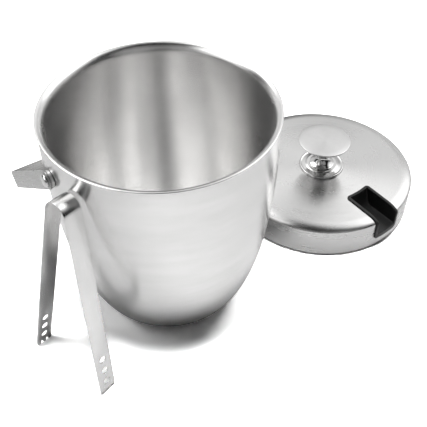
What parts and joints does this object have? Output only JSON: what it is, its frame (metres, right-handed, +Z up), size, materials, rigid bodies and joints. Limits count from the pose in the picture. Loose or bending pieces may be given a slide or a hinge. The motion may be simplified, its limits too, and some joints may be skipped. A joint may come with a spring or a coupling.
{
  "type": "ice bucket with lid and tongs",
  "caption": "Double-wall steel ice bucket with a squared strap bail, a loose lid with a mushroom knob and a tong slot, and spring tongs leaning on it.",
  "frame": {"origin": "centre of the bucket's base, on the table", "axes": "+Z up along the bucket's axis, +X to the right with the lid on that side, +Y away from the tongs"},
  "size_m": [0.3847, 0.3437, 0.2015],
  "materials": {
    "steel_brushed": "brushed round the axis, soft streaked reflections",
    "steel_satin": "fine satin",
    "steel_polished": "polished",
    "steel_plain": "plain mill finish, mostly hidden",
    "black_plastic": "moulded, semi-matt"
  },
  "bodies": {
    "bucket": {"liner": "steel_brushed", "outer_shell": "steel_brushed", "base_cap": "steel_plain", "pivot_rivet_right": "steel_polished", "pivot_rivet_left": "steel_polished", "pivot_spacer_right": "steel_plain", "pivot_spacer_left": "steel_plain", "pivot_backing_right": "steel_plain", "pivot_backing_left": "steel_plain"},
    "bail": {"bail_strap": "steel_brushed"},
    "lid": {"lid_shell": "steel_satin", "lid_underpan": "steel_plain", "tong_slot_insert": "black_plastic", "knob_escutcheon": "steel_polished", "knob_stem": "steel_polished", "knob_cap": "steel_satin", "knob_screw": "steel_plain", "knob_screw_washer": "steel_plain"},
    "tongs": {"tongs_bow": "steel_polished"},
    "tongs_right": {"tongs_arm_right": "steel_satin"},
    "tongs_left": {"tongs_arm_left": "steel_satin"}
  },
  "joints": [
    {"name": "bail_swing", "type": "hinge", "parent": "bucket", "child": "bail", "pos_m": [0, 0, 0.1768], "axis": [0.829, 0.5592, 0], "range_deg": [0, 127]},
    {"name": "lid_lift", "type": "slide", "parent": "bucket", "child": "lid", "axis": [0, 0, 1], "range_m": [0, 0.15]},
    {"name": "tongs_lift", "type": "slide", "parent": "bucket", "child": "tongs", "axis": [0, 0, 1], "range_m": [0, 0.2]},
    {"name": "tongs_squeeze_right", "type": "hinge", "parent": "tongs", "child": "tongs_right", "pos_m": [-0.05762, -0.08827, 0.17473], "axis": [0.618, 0.7769, -0.1201], "range_deg": [0, 11.5], "stiffness_Nm_per_rad": 3},
    {"name": "tongs_squeeze_left", "type": "hinge", "parent": "tongs", "child": "tongs_left", "pos_m": [-0.07304, -0.076, 0.17473], "axis": [-0.618, -0.7769, 0.1201], "range_deg": [0, 11.5], "stiffness_Nm_per_rad": 3}
  ],
  "couplings": [
    {"joint": "tongs_squeeze_left", "follows": "tongs_squeeze_right", "ratio": 1}
  ]
}
